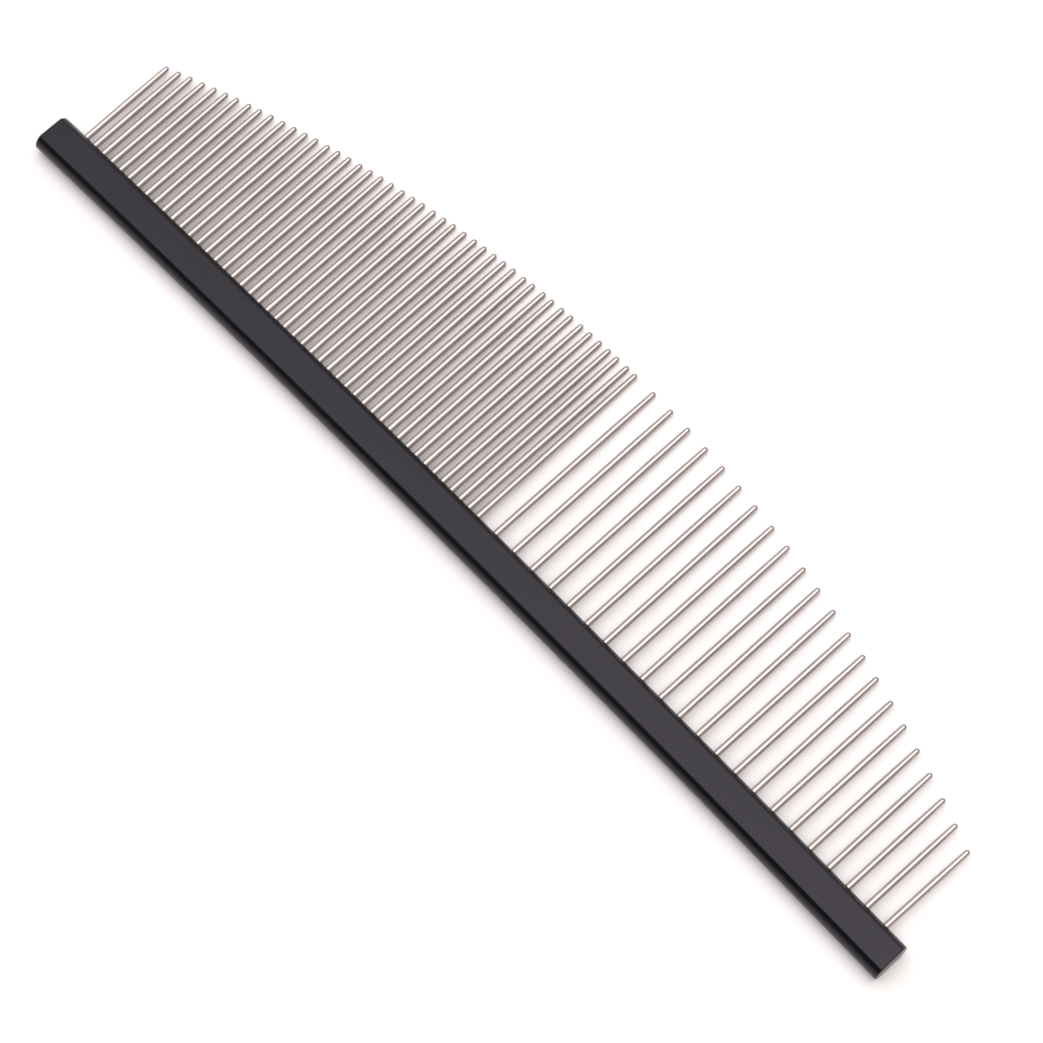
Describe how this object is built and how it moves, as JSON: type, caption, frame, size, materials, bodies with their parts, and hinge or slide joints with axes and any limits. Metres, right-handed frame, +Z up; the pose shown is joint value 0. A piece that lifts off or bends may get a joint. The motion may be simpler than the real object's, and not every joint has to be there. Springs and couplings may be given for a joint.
{
  "type": "steel grooming comb",
  "caption": "Straight handle-less pet grooming comb: a flat black spine with a row of polished steel pins, fine on one side and coarse on the other, tips on an arc.",
  "frame": {"origin": "middle of the flat underside of the spine", "axes": "+X along the spine towards the coarse pins, +Y from the spine towards the pin tips, +Z up, out of the flat top of the spine"},
  "size_m": [0.1902, 0.0425, 0.0042],
  "materials": {
    "black_anodised": "satin black anodised",
    "polished_steel": "bright polished stainless steel"
  },
  "bodies": {
    "root": {"spine": "black_anodised", "fine_pin_pair_01": "polished_steel", "fine_pin_pair_02": "polished_steel", "fine_pin_pair_03": "polished_steel", "fine_pin_pair_04": "polished_steel", "fine_pin_pair_05": "polished_steel", "fine_pin_pair_06": "polished_steel", "fine_pin_pair_07": "polished_steel", "fine_pin_pair_08": "polished_steel", "fine_pin_pair_09": "polished_steel", "fine_pin_19": "polished_steel", "fine_pin_20": "polished_steel", "fine_pin_21": "polished_steel", "fine_pin_22": "polished_steel", "fine_pin_23": "polished_steel", "fine_pin_24": "polished_steel", "fine_pin_25": "polished_steel", "fine_pin_26": "polished_steel", "fine_pin_27": "polished_steel", "fine_pin_28": "polished_steel", "fine_pin_29": "polished_steel", "fine_pin_30": "polished_steel", "fine_pin_31": "polished_steel", "fine_pin_32": "polished_steel", "fine_pin_33": "polished_steel", "fine_pin_34": "polished_steel", "fine_pin_35": "polished_steel", "fine_pin_36": "polished_steel", "fine_pin_37": "polished_steel", "fine_pin_38": "polished_steel", "fine_pin_39": "polished_steel", "fine_pin_40": "polished_steel", "fine_pin_41": "polished_steel", "fine_pin_42": "polished_steel", "fine_pin_43": "polished_steel", "fine_pin_44": "polished_steel", "fine_pin_45": "polished_steel", "fine_pin_46": "polished_steel", "coarse_pin_01": "polished_steel", "coarse_pin_02": "polished_steel", "coarse_pin_03": "polished_steel", "coarse_pin_04": "polished_steel", "coarse_pin_05": "polished_steel", "coarse_pin_06": "polished_steel", "coarse_pin_07": "polished_steel", "coarse_pin_08": "polished_steel", "coarse_pin_09": "polished_steel", "coarse_pin_10": "polished_steel", "coarse_pin_11": "polished_steel", "coarse_pin_12": "polished_steel", "coarse_pin_13": "polished_steel", "coarse_pin_14": "polished_steel", "coarse_pin_15": "polished_steel", "coarse_pin_16": "polished_steel", "coarse_pin_17": "polished_steel", "coarse_pin_18": "polished_steel", "coarse_pin_19": "polished_steel", "coarse_pin_20": "polished_steel", "coarse_pin_21": "polished_steel", "coarse_pin_22": "polished_steel"}
  },
  "joints": []
}
